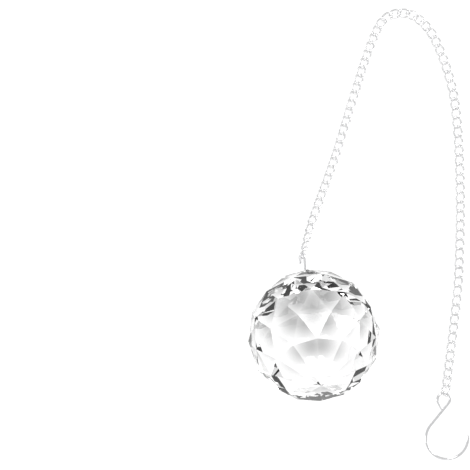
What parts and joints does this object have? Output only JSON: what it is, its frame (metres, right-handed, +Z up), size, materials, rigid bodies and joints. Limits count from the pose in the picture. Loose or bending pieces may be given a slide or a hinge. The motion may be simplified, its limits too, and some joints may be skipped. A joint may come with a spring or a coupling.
{
  "type": "crystal suncatcher",
  "caption": "Solid faceted crystal ball on a bent wire pin, with a curb chain and an S hook to hang it by, laid out on a table.",
  "frame": {"origin": "on the table top, under the middle of the box round everything", "axes": "+Z up from the table, +Y from the ball towards the far bend of the chain, +X towards the side on which the S hook lies"},
  "size_m": [0.0881, 0.1796, 0.0494],
  "materials": {
    "clear_crystal": "clear, cut and polished",
    "silver_plate": "bright silver-coloured plate",
    "bright_steel_wire": "bright drawn wire"
  },
  "bodies": {
    "root": {"chain_link_01": "silver_plate", "chain_link_02": "silver_plate", "chain_link_03": "silver_plate", "chain_link_04": "silver_plate", "chain_link_05": "silver_plate", "chain_link_06": "silver_plate", "chain_link_07": "silver_plate", "chain_link_08": "silver_plate", "chain_link_09": "silver_plate", "chain_link_10": "silver_plate", "chain_link_11": "silver_plate", "chain_link_12": "silver_plate", "chain_link_13": "silver_plate", "chain_link_14": "silver_plate", "chain_link_15": "silver_plate", "chain_link_16": "silver_plate", "chain_link_17": "silver_plate", "chain_link_18": "silver_plate", "chain_link_19": "silver_plate", "chain_link_20": "silver_plate", "chain_link_21": "silver_plate", "chain_link_22": "silver_plate", "chain_link_23": "silver_plate", "chain_link_24": "silver_plate", "chain_link_25": "silver_plate", "chain_link_26": "silver_plate", "chain_link_27": "silver_plate", "chain_link_28": "silver_plate", "chain_link_29": "silver_plate", "chain_link_30": "silver_plate", "chain_link_31": "silver_plate", "chain_link_32": "silver_plate", "chain_link_33": "silver_plate", "chain_link_34": "silver_plate", "chain_link_71": "silver_plate", "chain_link_72": "silver_plate", "chain_link_73": "silver_plate", "chain_link_74": "silver_plate", "chain_link_75": "silver_plate", "chain_links_35_36": "silver_plate", "chain_links_37_38": "silver_plate", "chain_links_39_40": "silver_plate", "chain_links_41_42": "silver_plate", "chain_links_43_44": "silver_plate", "chain_links_45_46": "silver_plate", "chain_links_47_48": "silver_plate", "chain_links_49_50": "silver_plate", "chain_links_51_52": "silver_plate", "chain_links_53_54": "silver_plate", "chain_links_55_56": "silver_plate", "chain_links_57_58": "silver_plate", "chain_links_59_60": "silver_plate", "chain_links_61_62": "silver_plate", "chain_links_63_64": "silver_plate", "chain_links_65_66": "silver_plate", "chain_links_67_68": "silver_plate", "chain_links_69_70": "silver_plate", "crystal_ball": "clear_crystal", "s_hook": "bright_steel_wire", "wire_pin": "bright_steel_wire"}
  },
  "joints": []
}
